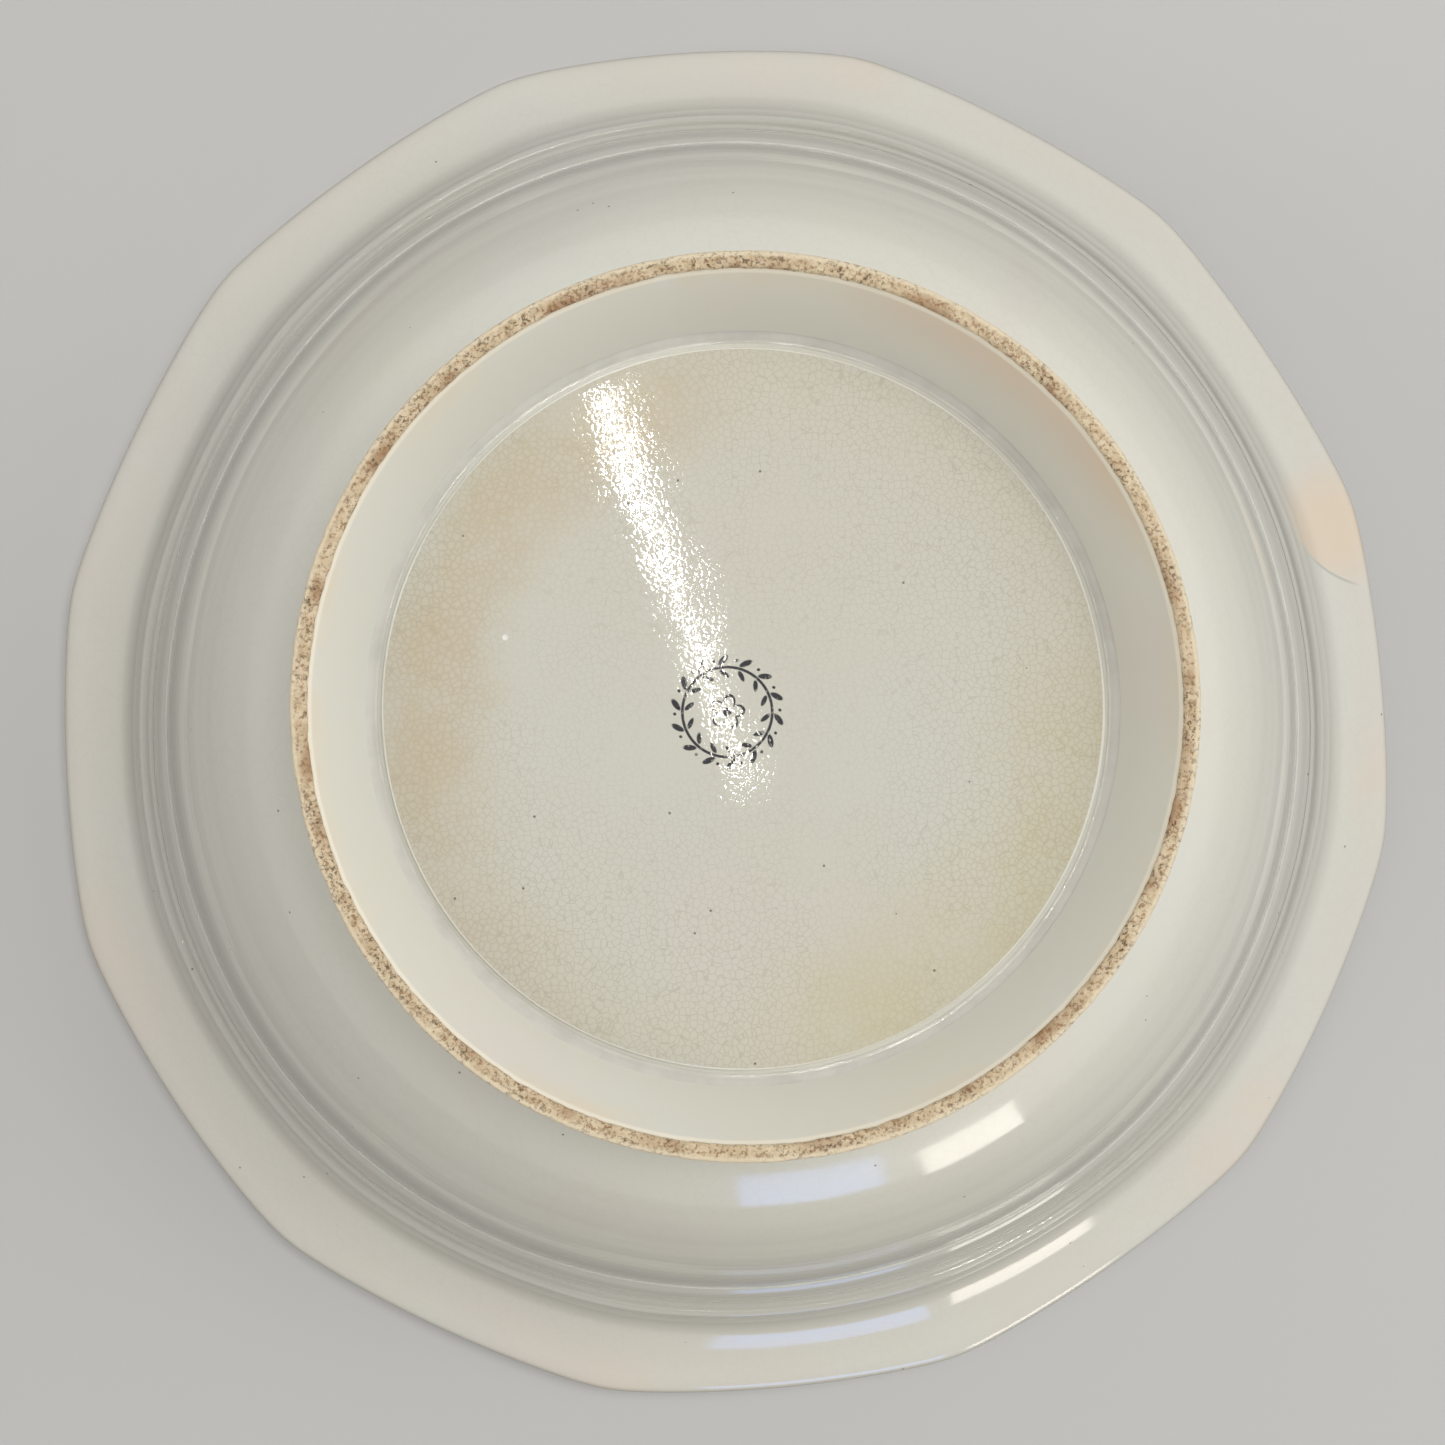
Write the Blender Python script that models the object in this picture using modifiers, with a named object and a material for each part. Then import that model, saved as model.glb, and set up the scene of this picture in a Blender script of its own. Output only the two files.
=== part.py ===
"""Footed serving bowl in glazed white ware, with a wide twelve-sided rim.

The bowl stands on its foot ring, +Z up, with the origin in the middle of the foot's flat lip.
It is put together from the clay pieces that a potter makes: a turned shell, a pressed rim,
a turned foot ring, and the two rings of slip that join them.
"""

import math

import bpy
from mathutils import Vector
from mathutils.geometry import interpolate_bezier

MM = 0.001

# Driving dimensions, in millimetres.
HEIGHT = 88.0
SIDES = 12                   # sides of the rim, with a flat side square to +X
CORNER_RADIUS = 127.5        # axis to a rim corner, before the corner is softened
SIDE_BOW_RADIUS = 255.0      # each side of the rim bows out gently as an arc
CORNER_SOFTNESS = 2.2        # degrees over which a corner is rounded
WALL = 4.95                  # thickness of the wall where it meets the rim
FLOOR_INSIDE = 18.5          # height of the eating surface
BASE_UNDERSIDE = 13.3        # height of the base inside the foot ring
BASE_RADIUS = 54.4           # the disc that carries the maker's print
FOOT_LIP_OUTER = 64.8
FOOT_LIP_INNER = 62.1
GAP = 0.3                    # clearance between touching pieces
SLIP = 0.9                   # thickness of the slip that joins two pieces
RIDGE_RADIUS = 107.2         # small raised bead round the underside of the rim
FLARE_RADIUS = 122.4         # where the cove under the rim turns into the rolled edge

SEGMENTS = 96                # steps round the axis, a multiple of twice the sides
CURVE_POINTS = 8             # points on a long curve of a profile
SHORT_POINTS = 4             # points on a short one
SMOOTH_ANGLE = 35.0          # degrees; a sharper bend stays a crisp edge
MERGE = 0.00001

# Joints between the pieces: the outer end of each joint face, and the way out of the shell.
RIM_SEAM_OUTER = Vector((101.1, 65.2))
RIM_SEAM_WAY = Vector((0.364, 0.931)).normalized()
RIM_SEAM_INNER = RIM_SEAM_OUTER + WALL * Vector((-RIM_SEAM_WAY.y, RIM_SEAM_WAY.x))
FOOT_SEAT_OUTER = Vector((67.4, 20.4))
FOOT_SEAT_INNER = Vector((55.6, 14.5))
FOOT_SEAT_WAY = Vector((0.447, -0.894)).normalized()

GLAZE = (0.78, 0.76, 0.69)
RIM_GLAZE = (0.80, 0.79, 0.73)
BARE_CLAY = (0.62, 0.50, 0.37)
SLIP_CLAY = (0.66, 0.66, 0.62)


def clear_scene():
    for thing in list(bpy.data.objects):
        bpy.data.objects.remove(thing, do_unlink=True)


def material(name, colour, roughness):
    """A plain glaze or clay."""
    made = bpy.data.materials.new(name)
    made.use_nodes = True
    shader = made.node_tree.nodes["Principled BSDF"]
    shader.inputs["Base Color"].default_value = (*colour, 1.0)
    shader.inputs["Roughness"].default_value = roughness
    shader.inputs["Metallic"].default_value = 0.0
    return made


def bend(start, handle_1, handle_2, end, count=CURVE_POINTS):
    """Points on a Bezier curve in the profile plane, both ends included."""
    corners = [Vector((p[0], p[1], 0.0)) for p in (start, handle_1, handle_2, end)]
    return [Vector((p.x, p.y)) for p in interpolate_bezier(*corners, count)]


def chain(*runs):
    """Joins runs of points into one profile and drops a point that repeats the one before."""
    points = []
    for run in runs:
        for point in run:
            point = Vector(point)
            if not points or (point - points[-1]).length > 0.01:
                points.append(point)
    return points


def turned(name, profile, closed, skin, collection):
    """Spins a profile round the Z axis. It runs down its outer side, top to bottom."""
    mesh = bpy.data.meshes.new(name)
    if closed and (profile[0] - profile[-1]).length < 0.01:
        profile = profile[:-1]
    edges = [(i, i + 1) for i in range(len(profile) - 1)]
    if closed:
        edges.append((len(profile) - 1, 0))
    mesh.from_pydata([(p.x * MM, 0.0, p.y * MM) for p in profile], edges, [])
    body = bpy.data.objects.new(name, mesh)
    collection.objects.link(body)
    spin = body.modifiers.new("Turn", "SCREW")
    spin.axis = "Z"
    spin.angle = math.tau
    spin.steps = SEGMENTS
    spin.render_steps = SEGMENTS
    spin.use_merge_vertices = True
    spin.merge_threshold = MERGE
    spin.use_smooth_shade = True
    return finished(body, skin)


def finished(body, skin):
    """Applies the turning, shades the result smooth and gives it its material."""
    bpy.context.view_layer.update()
    solid = bpy.data.meshes.new_from_object(body.evaluated_get(bpy.context.evaluated_depsgraph_get()))
    solid.name = body.name
    body.modifiers.clear()
    body.data = solid
    solid.shade_smooth()
    solid.set_sharp_from_angle(angle=math.radians(SMOOTH_ANGLE))
    solid.materials.clear()
    solid.materials.append(skin)
    return body


def rim_radius(azimuth):
    """Distance from the axis to the rim's outline: twelve bowed sides with softened corners."""
    half = math.pi / SIDES
    middle = CORNER_RADIUS * math.cos(half)
    half_side = CORNER_RADIUS * math.sin(half)
    sagitta = SIDE_BOW_RADIUS - math.sqrt(SIDE_BOW_RADIUS ** 2 - half_side ** 2)
    offset = SIDE_BOW_RADIUS - (middle + sagitta)
    across = (azimuth + half) % (2 * half) - half
    to_corner = math.hypot(half - abs(across), math.radians(CORNER_SOFTNESS))
    turn = half - to_corner
    return math.sqrt(SIDE_BOW_RADIUS ** 2 - (offset * math.sin(turn)) ** 2) - offset * math.cos(turn)


def rim_share(radius):
    """How far a point follows the twelve sides: not at all on the wall, fully at the edge."""
    t = (radius - RIM_SEAM_OUTER.x) / (FLARE_RADIUS - RIM_SEAM_OUTER.x)
    t = max(0.0, min(1.0, t))
    return t * t * (3.0 - 2.0 * t)


def panel(body):
    """Draws the round rim in to its twelve sides, most at the edge."""
    for vertex in body.data.vertices:
        radius = math.hypot(vertex.co.x, vertex.co.y) / MM
        azimuth = math.atan2(vertex.co.y, vertex.co.x)
        wanted = rim_radius(azimuth) / rim_radius(math.pi / SIDES)
        scale = 1.0 + (wanted - 1.0) * rim_share(radius)
        vertex.co.x *= scale
        vertex.co.y *= scale
    body.data.update()


def joint_face(outer, inner, way, offset):
    """The two ends of a joint face, moved off the shell by offset."""
    return [outer + way * offset, inner + way * offset]


def shell(skin, collection):
    """The turned body: floor, base and the wall up to the rim seam."""
    floor_edge = Vector((46.0, FLOOR_INSIDE))
    inside = bend(floor_edge, (75.0, FLOOR_INSIDE), (87.5, 43.0), RIM_SEAM_INNER)
    outside = bend(RIM_SEAM_OUTER, (92.5, 43.2), (84.5, 28.6), FOOT_SEAT_OUTER)
    groove = (BASE_RADIUS + 0.5, FOOT_SEAT_INNER.y)
    base_edge = (BASE_RADIUS, BASE_UNDERSIDE + 0.4)
    base = [FOOT_SEAT_INNER, groove, base_edge, (BASE_RADIUS - 0.6, BASE_UNDERSIDE), (0.0, BASE_UNDERSIDE)]
    profile = chain([(0.0, FLOOR_INSIDE)], inside, outside, base)
    return turned("bowl_shell", profile, False, skin, collection)


def rim(skin, collection):
    """The pressed rim: joint face, inner slope, rolled edge, cove, bead and groove."""
    outer, inner = joint_face(RIM_SEAM_OUTER, RIM_SEAM_INNER, RIM_SEAM_WAY, SLIP + 2 * GAP)
    edge = rim_radius(math.pi / SIDES)
    crest = Vector((edge - 3.0, HEIGHT))
    nose = Vector((edge, HEIGHT - 2.8))
    flare = Vector((FLARE_RADIUS, HEIGHT - 6.0))
    bead_out = Vector((RIDGE_RADIUS + 1.2, 70.6))
    bead_in = Vector((RIDGE_RADIUS - 1.2, 69.4))
    slope_end = Vector((117.5, HEIGHT - 1.6))
    slope = bend(inner, (99.4, 74.6), (106.4, 82.6), slope_end)
    top = bend(slope_end, (120.0, HEIGHT - 0.7), (122.0, HEIGHT), crest, SHORT_POINTS)
    round_over = bend(crest, (edge - 1.2, HEIGHT), (edge, HEIGHT - 1.2), nose, SHORT_POINTS)
    roll = bend(nose, (edge, HEIGHT - 4.6), (edge - 1.6, HEIGHT - 5.3), flare, SHORT_POINTS)
    cove = bend(flare, (116.0, 80.2), (109.8, 76.2), bead_out)
    bead = bend(bead_out, (RIDGE_RADIUS + 1.0, 69.0), (RIDGE_RADIUS - 0.4, 68.6), bead_in, SHORT_POINTS)
    groove = [(104.9, 68.6), (104.6, 69.1), (104.3, 68.2)]
    band = bend(groove[-1], (103.4, 67.2), (102.5, 66.6), outer, SHORT_POINTS)
    profile = chain(round_over, roll, cove, bead, groove, band, slope, top)
    body = turned("rim_flange", profile, True, skin, collection)
    panel(body)
    return body


def foot(skin, collection):
    """The turned foot ring: it flares to a narrow unglazed lip that the bowl rests on."""
    outer, inner = joint_face(FOOT_SEAT_OUTER, FOOT_SEAT_INNER, FOOT_SEAT_WAY, SLIP + 2 * GAP)
    waist = (63.5, 8.0)
    outside = bend(outer, (64.6, 17.0), (62.9, 13.5), waist, SHORT_POINTS)
    lip_out = bend((FOOT_LIP_OUTER, 1.2), (FOOT_LIP_OUTER, 0.5), (64.7, 0.0), (64.3, 0.0), SHORT_POINTS)
    lip_in = bend((62.8, 0.0), (62.4, 0.0), (62.2, 0.3), (FOOT_LIP_INNER, 0.9), SHORT_POINTS)
    profile = chain(outside, lip_out, lip_in, [inner])
    return turned("foot_ring", profile, True, skin, collection)


def slip_ring(name, outer, inner, way, bead_out, bead_in, skin, collection):
    """A ring of slip in a joint, with a small bead squeezed out at each end of the face."""
    near = joint_face(outer, inner, way, GAP)
    far = joint_face(outer, inner, way, GAP + SLIP)
    along = (outer - inner).normalized()
    out_end = (near[0] + far[0]) / 2 + along * bead_out
    in_end = (near[1] + far[1]) / 2 - along * bead_in
    loop = [far[0], out_end, near[0], near[1], in_end, far[1]]
    if way.y < 0:
        loop.reverse()
    return turned(name, loop, True, skin, collection)


def main():
    clear_scene()
    collection = bpy.data.collections.new("serving_bowl")
    bpy.context.scene.collection.children.link(collection)
    glaze = material("shell_glaze", GLAZE, 0.14)
    rim_glaze = material("rim_glaze", RIM_GLAZE, 0.14)
    clay = material("foot_clay", BARE_CLAY, 0.75)
    rim_slip = material("rim_slip", SLIP_CLAY, 0.3)
    foot_slip = material("foot_slip", SLIP_CLAY, 0.3)
    rim_face = (RIM_SEAM_OUTER, RIM_SEAM_INNER, RIM_SEAM_WAY)
    foot_face = (FOOT_SEAT_OUTER, FOOT_SEAT_INNER, FOOT_SEAT_WAY)
    shell(glaze, collection)
    rim(rim_glaze, collection)
    foot(clay, collection)
    slip_ring("rim_luting", *rim_face, 0.4, 0.1, rim_slip, collection)
    slip_ring("foot_luting", *foot_face, 0.3, 0.5, foot_slip, collection)


main()
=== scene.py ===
"""Looks of a footed serving bowl: crazed white glaze, a bare stained foot lip and a twelve-sided rim.

The bowl stands upright in the shared frame. The camera looks up at its underside, the side that
carries the print, as when a collector turns such a bowl over.
"""

import math

import bpy
import numpy as np
from mathutils import Matrix, Vector


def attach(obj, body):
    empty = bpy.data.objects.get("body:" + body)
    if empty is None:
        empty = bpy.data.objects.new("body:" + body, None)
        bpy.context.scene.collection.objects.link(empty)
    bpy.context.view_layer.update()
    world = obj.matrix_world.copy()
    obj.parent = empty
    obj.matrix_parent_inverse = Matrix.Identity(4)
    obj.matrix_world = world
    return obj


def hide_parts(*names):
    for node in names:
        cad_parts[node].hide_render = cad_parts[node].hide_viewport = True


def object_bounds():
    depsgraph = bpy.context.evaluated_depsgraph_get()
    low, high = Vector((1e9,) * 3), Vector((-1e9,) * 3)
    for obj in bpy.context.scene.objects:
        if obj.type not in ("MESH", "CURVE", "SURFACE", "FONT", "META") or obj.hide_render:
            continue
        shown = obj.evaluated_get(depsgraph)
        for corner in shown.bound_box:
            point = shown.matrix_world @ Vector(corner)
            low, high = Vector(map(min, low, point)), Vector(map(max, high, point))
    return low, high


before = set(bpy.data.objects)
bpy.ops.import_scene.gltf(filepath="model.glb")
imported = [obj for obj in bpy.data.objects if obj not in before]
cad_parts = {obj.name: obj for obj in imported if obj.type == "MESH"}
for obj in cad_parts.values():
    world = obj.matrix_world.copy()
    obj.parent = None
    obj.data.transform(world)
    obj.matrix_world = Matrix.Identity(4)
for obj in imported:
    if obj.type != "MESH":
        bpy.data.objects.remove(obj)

cad_box = [list(corner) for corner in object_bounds()]

MM = 0.001
TAU = math.tau

# The frame's own size, in millimetres.
HEIGHT = cad_box[1][2] / MM

# Sizes shared with the CAD model, in millimetres.
SIDES = 12
CORNER_RADIUS = 127.5
SIDE_BOW_RADIUS = 255.0
CORNER_SOFTNESS = 2.2          # degrees
RIM_SEAM = (101.1, 65.2)       # outer end of the joint between shell and rim
FLOOR_INSIDE = 18.5
BASE_UNDERSIDE = 13.3
BASE_RADIUS = 54.4
BEAD_RADIUS = 107.2
FLARE_RADIUS = 122.4
LIP_OUTER = 64.8
LIP_INNER = 62.1

AROUND = 480                   # steps round the axis
AROUND_FINE = 960              # steps for the foot ring and the bead of slip
SEED = 7


# ---------------------------------------------------------------- shapes

def bend(start, handle_1, handle_2, end, count):
    """Points on a Bezier curve in the profile plane, both ends included."""
    t = np.linspace(0.0, 1.0, count)[:, None]
    a, b, c, d = (np.array(p, float) for p in (start, handle_1, handle_2, end))
    return (1 - t) ** 3 * a + 3 * (1 - t) ** 2 * t * b + 3 * (1 - t) * t ** 2 * c + t ** 3 * d


def line(start, end, count=2):
    t = np.linspace(0.0, 1.0, count)[:, None]
    return (1 - t) * np.array(start, float) + t * np.array(end, float)


def chain(*runs):
    """Joins runs of profile points and drops those that repeat the one before."""
    points = [runs[0][0]]
    for run in runs:
        for point in run:
            if np.hypot(*(point - points[-1])) > 0.004:
                points.append(point)
    return np.array(points)


def smooth_step(low, high, x):
    t = np.clip((x - low) / (high - low), 0.0, 1.0)
    return t * t * (3.0 - 2.0 * t)


def rim_radius(azimuth):
    """Distance from the axis to the rim's outline: twelve bowed sides with softened corners."""
    half = math.pi / SIDES
    middle = CORNER_RADIUS * math.cos(half)
    half_side = CORNER_RADIUS * math.sin(half)
    sagitta = SIDE_BOW_RADIUS - math.sqrt(SIDE_BOW_RADIUS ** 2 - half_side ** 2)
    offset = SIDE_BOW_RADIUS - (middle + sagitta)
    across = (azimuth + half) % (2 * half) - half
    to_corner = np.hypot(half - np.abs(across), math.radians(CORNER_SOFTNESS))
    turn = half - to_corner
    return np.sqrt(SIDE_BOW_RADIUS ** 2 - (offset * np.sin(turn)) ** 2) - offset * np.cos(turn)


def wave(azimuth, seed, low, high):
    """A closed wave round the axis, about -1 to 1, made of whole numbers of periods."""
    draw = np.random.default_rng(seed)
    total = np.zeros_like(azimuth)
    weight = 0.0
    for count in range(low, high + 1):
        size = draw.uniform(0.4, 1.0) / count ** 0.5
        total += size * np.sin(count * azimuth + draw.uniform(0, TAU))
        weight += size * size / 2
    return total / (2.0 * math.sqrt(weight))


def by_hand(radius, height, azimuth):
    """The bowl's slight lack of truth: the rim is a little oval and three-cornered, the rest less."""
    share = smooth_step(60.0, 120.0, radius)
    oval = 0.85 * np.cos(2 * (azimuth - math.radians(-88.0)))
    three = 0.70 * np.cos(3 * (azimuth - math.radians(30.0)))
    drift = 0.9 * np.cos(azimuth - math.radians(146.0)) * smooth_step(108.0, 120.0, radius)
    lean = 0.30 * np.sin(2 * azimuth + 0.7) * smooth_step(60.0, 95.0, height)
    return share * (oval + three) + drift, lean


def sides_share(radius):
    """How far a point follows the twelve sides: not on the wall, fully at the rim's edge."""
    return smooth_step(RIM_SEAM[0], FLARE_RADIUS, radius)


def turned_surface(name, profile, closed, wobble=None, around=AROUND):
    """Sweeps a profile (radius, height in mm) round the axis, with the sides, by_hand's shifts and wobble.

    A closed profile makes a ring. An open one starts and ends on the axis.
    """
    azimuth = np.arange(around) * TAU / around
    inner = profile if closed else profile[1:-1]
    r = inner[:, :1] * np.ones((1, around))
    z = inner[:, 1:] * np.ones((1, around))
    a = np.ones((len(inner), 1)) * azimuth[None, :]
    scale = rim_radius(a) / rim_radius(np.array(math.pi / SIDES))
    shifted = r * (1.0 + (scale - 1.0) * sides_share(r))
    out, up = by_hand(r, z, a)
    if wobble is not None:
        more_out, more_up = wobble(r, z, a)
        out = out + more_out
        up = up + more_up
    shifted = shifted + out
    z = z + up
    points = np.stack([shifted * np.cos(a), shifted * np.sin(a), z], -1).reshape(-1, 3) * MM
    rows, n = len(inner), around
    row = np.arange(rows if closed else rows - 1)[:, None]
    col = np.arange(n)[None, :]
    next_row = (row + 1) % rows
    next_col = (col + 1) % n
    quads = np.stack([row * n + col, next_row * n + col, next_row * n + next_col, row * n + next_col], -1)
    faces = quads.reshape(-1, 4).tolist()
    if not closed:
        first, last = len(points), len(points) + 1
        ends = np.array([[0, 0, profile[0][1] * MM], [0, 0, profile[-1][1] * MM]])
        points = np.vstack([points, ends])
        base = (rows - 1) * n
        for i in range(n):
            j = (i + 1) % n
            faces.append((first, i, j))
            faces.append((last, base + j, base + i))
    mesh = bpy.data.meshes.new(name)
    mesh.from_pydata(points.tolist(), [], faces)
    mesh.validate()
    piece = bpy.data.objects.new(name, mesh)
    bpy.context.scene.collection.objects.link(piece)
    mesh.shade_smooth()
    mesh.set_sharp_from_angle(angle=math.radians(48.0))
    return piece


# ---------------------------------------------------------------- the pieces

def seam_points(offset):
    """Outer and inner end of the rim joint, moved off the shell by offset."""
    way = np.array([0.364, 0.931])
    way = way / np.hypot(*way)
    outer = np.array(RIM_SEAM)
    inner = outer + 4.95 * np.array([-way[1], way[0]])
    return outer + way * offset, inner + way * offset


SEAM_OFFSET = 0.75             # the visible surfaces of shell and rim meet mid-way through the slip


def make_shell():
    """Floor, base and wall: an open profile from the axis inside the bowl to the axis under it."""
    outer, inner = seam_points(SEAM_OFFSET)
    floor_end = (46.0, FLOOR_INSIDE)
    wall_foot = (67.4, 20.4)
    seat_end = (55.9, 14.75)
    pocket_end = (54.3, 13.9)
    inside = bend(floor_end, (75.0, FLOOR_INSIDE), (87.5, 43.0), inner, 60)
    outside = bend(outer, (92.5, 43.2), (84.5, 28.6), wall_foot, 60)
    seat = line(wall_foot, seat_end, 6)
    pocket = bend(seat_end, (55.3, 14.5), (54.9, 14.2), pocket_end, 6)
    profile = chain(line((0.0, FLOOR_INSIDE), floor_end, 30), inside, line(inner, outer, 8),
                    outside, seat, pocket, line(pocket_end, (0.0, pocket_end[1]), 8))

    def wobble(r, z, a):
        ripple = 0.05 * wave(a, SEED + 1, 2, 9) * smooth_step(66.0, 80.0, r)
        rings = 0.018 * np.sin(z * 1.9 + 0.6 * wave(a, SEED + 2, 1, 3)) * smooth_step(70.0, 78.0, r)
        return ripple + rings, 0.0 * r

    return turned_surface("glazed_shell", profile, False, wobble)


def make_base():
    """The glazed disc inside the foot ring: its underside is barely hollow and has a crisp rounded edge."""
    edge = BASE_RADIUS - 0.4
    rounding = 0.4
    hollow = 0.16
    under = bend((edge - rounding, BASE_UNDERSIDE), (edge - 0.18, BASE_UNDERSIDE),
                 (edge, BASE_UNDERSIDE + 0.18), (edge, BASE_UNDERSIDE + 0.5), 12)
    flat = line((0.0, BASE_UNDERSIDE + hollow), (edge - rounding, BASE_UNDERSIDE), 60)
    flat[:, 1] = BASE_UNDERSIDE + hollow * (1 - (flat[:, 0] / (edge - rounding)) ** 2)
    back = line((0.0, BASE_UNDERSIDE + 1.0), (edge, BASE_UNDERSIDE + 1.0), 4)
    profile = chain(back, under[::-1], flat[::-1])

    def wobble(r, z, a):
        return 0.13 * wave(a, SEED + 3, 2, 14) * smooth_step(50.0, 54.0, r), 0.0 * r

    return turned_surface("base_glaze", profile, False, wobble)


def make_rim():
    """The pressed rim: inner slope, rolled edge, cove, bead, groove and band."""
    outer, inner = seam_points(SEAM_OFFSET)
    edge = float(rim_radius(np.array(math.pi / SIDES)))
    crest = (edge - 3.0, HEIGHT)
    nose = (edge, HEIGHT - 2.8)
    flare = (FLARE_RADIUS, HEIGHT - 6.0)
    bead_out = (BEAD_RADIUS + 1.2, 70.6)
    bead_in = (BEAD_RADIUS - 1.2, 69.4)
    groove_out = (104.95, 68.70)
    groove_in = (104.42, 68.3)
    round_over = bend(crest, (edge - 1.2, HEIGHT), (edge, HEIGHT - 1.2), nose, 14)
    roll = bend(nose, (edge, HEIGHT - 4.6), (edge - 1.6, HEIGHT - 5.3), flare, 22)
    cove = bend(flare, (116.0, 80.2), (109.8, 76.2), bead_out, 48)
    bead = bend(bead_out, (BEAD_RADIUS + 1.0, 69.0), (BEAD_RADIUS - 0.4, 68.6), bead_in, 16)
    to_groove = bend(bead_in, (105.6, 69.5), (105.2, 69.1), groove_out, 8)
    dip = bend(groove_out, (104.8, 68.95), (104.6, 68.85), groove_in, 8)
    band = bend(groove_in, (103.5, 67.2), (102.5, 66.4), outer + np.array([0.25, 0.1]), 12)
    slope_end = (117.5, HEIGHT - 1.6)
    slope = bend(inner, (99.4, 74.6), (106.4, 82.6), slope_end, 48)
    top = bend(slope_end, (120.0, HEIGHT - 0.7), (122.0, HEIGHT), crest, 14)
    profile = chain(round_over, roll, cove, bead, to_groove, dip, band, line(outer, inner, 8), slope, top)

    def wobble(r, z, a):
        low = 0.10 * wave(a, SEED + 4, 2, 8) * smooth_step(104.0, 112.0, r)
        edge_in = smooth_step(103.4, 101.8, r) * smooth_step(70.0, 68.5, z)
        fettled = (0.15 * wave(a, SEED + 5, 3, 20) + 0.012 * wave(a, SEED + 6, 24, 60)) * edge_in
        return low + fettled, 0.4 * fettled

    return turned_surface("glazed_rim", profile, True, wobble)


def make_foot():
    """The flared foot ring, glazed on its sides and bare on its lip."""
    waist = (63.5, 8.0)
    outer_top = (68.07, 19.06)
    inner_top = (56.27, 13.16)
    flare_end = (LIP_OUTER, 1.2)
    lip_outer_edge = (64.2, 0.0)
    lip_inner_edge = (62.9, 0.0)
    inside_start = (LIP_INNER, 0.9)
    cap_inner = (57.5, 15.0)
    cap_outer = (67.6, 20.2)
    outside = bend(outer_top, (64.6, 17.0), (62.9, 13.5), waist, 26)
    flare = bend(waist, (63.7, 6.0), (64.6, 3.0), flare_end, 16)
    lip_out = bend(flare_end, (LIP_OUTER, 0.5), (64.7, 0.05), lip_outer_edge, 10)
    lip = line(lip_outer_edge, lip_inner_edge, 8)
    lip_in = bend(lip_inner_edge, (62.4, 0.0), (62.2, 0.3), inside_start, 8)
    inside = bend(inside_start, (60.6, 3.6), (57.9, 9.3), inner_top, 30)
    back = line(inner_top, cap_inner, 3)
    cap = line(cap_inner, cap_outer, 4)
    profile = chain(outside, flare, lip_out, lip, lip_in, inside, back, cap, line(cap_outer, outer_top, 3))

    def wobble(r, z, a):
        lip_share = smooth_step(3.0, 0.0, z)
        worn = -0.10 * np.maximum(0.0, wave(a, SEED + 7, 20, 120)) * lip_share
        ripple = 0.06 * wave(a, SEED + 8, 2, 7)
        chipped = 0.06 * np.maximum(0.0, wave(a, SEED + 9, 30, 150)) * lip_share
        return ripple + worn * np.sign(r - waist[0]), chipped

    return turned_surface("glazed_foot", profile, True, wobble, AROUND_FINE)


def make_rim_slip():
    """The slip squeezed out of the rim joint: a thin, uneven bead left by hand tools."""
    outer, _ = seam_points(SEAM_OFFSET)
    middle = outer + np.array([0.05, 0.2])
    angle = np.linspace(0, TAU, 13)[:-1]
    thin = 0.34                    # radius of the bead's section
    ring = np.stack([middle[0] + thin * np.cos(-angle), middle[1] + thin * np.sin(-angle)], -1)

    def wobble(r, z, a):
        out = 0.08 * wave(a, SEED + 10, 4, 24) + 0.01 * wave(a, SEED + 11, 30, 70)
        return out, 0.25 * out

    return turned_surface("rim_slip_bead", ring, True, wobble, AROUND_FINE)


def make_foot_slip():
    """Slip and pooled glaze in the corner between the foot ring and the base: a shallow trough."""
    shaded_cove = bend((57.0, 12.5), (56.2, 13.6), (55.6, 14.25), (53.6, 14.0), 18)
    top_inner = (54.6, 14.9)
    top_outer = (58.0, 14.9)
    profile = chain(shaded_cove, line(shaded_cove[-1], top_inner, 3), line(top_inner, top_outer, 3),
                    line(top_outer, shaded_cove[0], 3))[:-1]

    def wobble(r, z, a):
        return 0.0 * r, 0.07 * wave(a, SEED + 12, 3, 30) * smooth_step(14.5, 13.5, z)

    return turned_surface("foot_slip_fillet", profile, True, wobble)


# ---------------------------------------------------------------- materials

def colour(value):
    return (*value, 1.0) if isinstance(value, tuple) and len(value) == 3 else value


def srgb(red, green, blue):
    """A colour given as 0 to 255 display values, as the linear values that shaders take."""
    def linear(v):
        v = v / 255.0
        return v / 12.92 if v <= 0.04045 else ((v + 0.055) / 1.055) ** 2.4
    return (linear(red), linear(green), linear(blue))


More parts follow.
